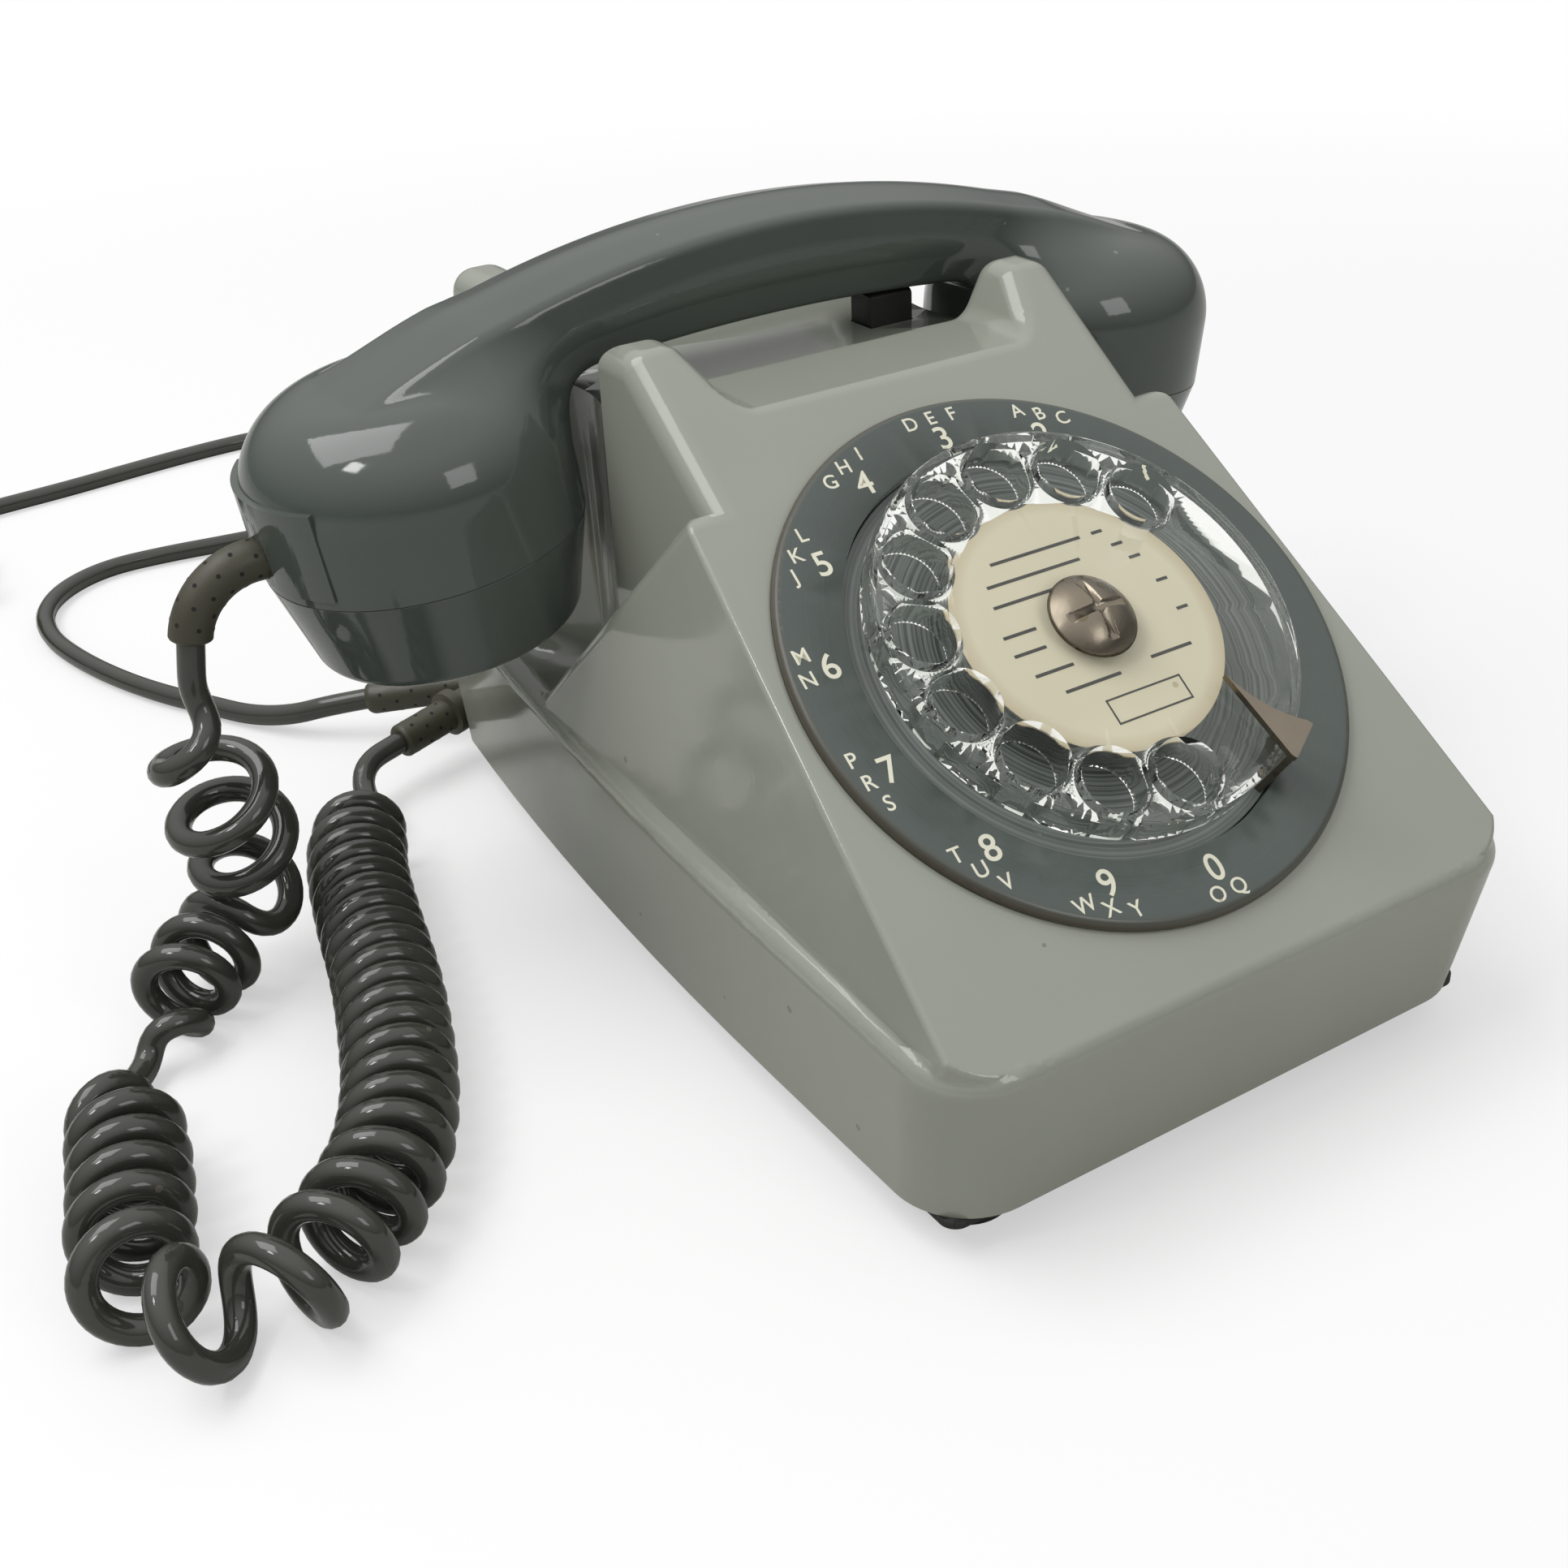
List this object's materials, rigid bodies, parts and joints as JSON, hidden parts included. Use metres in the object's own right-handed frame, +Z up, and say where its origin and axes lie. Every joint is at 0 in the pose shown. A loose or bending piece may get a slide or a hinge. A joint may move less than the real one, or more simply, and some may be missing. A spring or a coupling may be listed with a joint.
{
  "type": "rotary desk telephone",
  "caption": "Grey rotary desk telephone with a sloping dial face, a gabled handset across a horned cradle, a curly handset cord and a coiled line cord with its plug.",
  "frame": {"origin": "on the floor, under the middle of the telephone without its cords", "axes": "+X to the telephone's right as seen by its user, +Y to its back, +Z up"},
  "size_m": [0.3182, 0.4519, 0.1328],
  "materials": {
    "body_plastic": "polished moulded plastic",
    "handset_plastic": "polished moulded plastic",
    "dial_plastic": "fine turned marks, worn",
    "wheel_plastic": "clear acrylic, finely scuffed",
    "black_plastic": "plain",
    "nickel": "aged plating",
    "card": "yellowed card",
    "steel": "plain",
    "brass": "plain",
    "aluminium": "plain",
    "winding": "wound wire under tape",
    "rubber_black": "plain",
    "rubber_boot": "worn",
    "cord_sheath": "smooth sheath"
  },
  "bodies": {
    "base": {"base_plate": "steel", "capacitor": "aluminium", "chassis": "steel", "cord_tie": "black_plastic", "curly_cord_boot": "rubber_boot", "dial_bed": "dial_plastic", "dial_frame": "steel", "finger_stop": "nickel", "foot_screws": "nickel", "gong_left": "brass", "gong_posts": "nickel", "gong_right": "brass", "gong_screws": "nickel", "handset_cord": "cord_sheath", "hanging_cord": "cord_sheath", "hook_contacts": "black_plastic", "hook_spring": "steel", "housing": "body_plastic", "line_cord": "cord_sheath", "line_cord_boot": "rubber_boot", "line_cord_coil": "cord_sheath", "line_plug": "black_plastic", "number_ring": "dial_plastic", "plug_blades": "brass", "pulse_contacts": "black_plastic", "ringer_coil": "winding", "ringer_frame": "steel", "rubber_feet": "rubber_black", "spring_barrel": "steel", "terminal_block": "black_plastic", "terminal_screws": "nickel", "transformer": "steel"},
    "dial_wheel": {"finger_wheel": "wheel_plastic", "number_card": "card", "centre_screw": "nickel", "dial_shaft": "steel", "main_gear": "brass"},
    "governor": {"governor_pinion": "brass", "pulse_cam": "brass", "governor_weights": "brass"},
    "hook": {"plunger_left": "black_plastic", "plunger_right": "black_plastic", "hook_bar": "black_plastic"},
    "bell_clapper": {"clapper": "steel"},
    "handset": {"handset_shell": "handset_plastic", "mouth_cap": "handset_plastic", "ear_cap": "handset_plastic", "cord_plate": "handset_plastic", "handset_boot": "rubber_boot", "microphone": "aluminium", "receiver": "aluminium"}
  },
  "joints": [
    {"name": "dial_turn", "type": "hinge", "parent": "base", "child": "dial_wheel", "pos_m": [0, -0.05146, 0.07368], "axis": [0, 0.5835, -0.8121], "range_deg": [0, 325]},
    {"name": "governor_spin", "type": "hinge", "parent": "base", "child": "governor", "pos_m": [0, -0.0271, 0.09119], "axis": [0, 0.5835, -0.8121], "range_deg": [-1380, 0]},
    {"name": "handset_lift", "type": "slide", "parent": "base", "child": "handset", "axis": [0, 0, 1], "range_m": [0, 0.06], "deforming": ["hanging_cord"]},
    {"name": "hook_rise", "type": "slide", "parent": "base", "child": "hook", "axis": [0, 0, 1], "range_m": [0, 0.004], "deforming": ["hook_spring"]},
    {"name": "clapper_swing", "type": "hinge", "parent": "base", "child": "bell_clapper", "pos_m": [0, 0.04, 0.019], "axis": [0, 0, 1], "range_deg": [-3, 3]}
  ],
  "couplings": [
    {"joint": "governor_spin", "follows": "dial_turn", "ratio": -4},
    {"joint": "hook_rise", "follows": "handset_lift", "ratio": 0.0666}
  ]
}
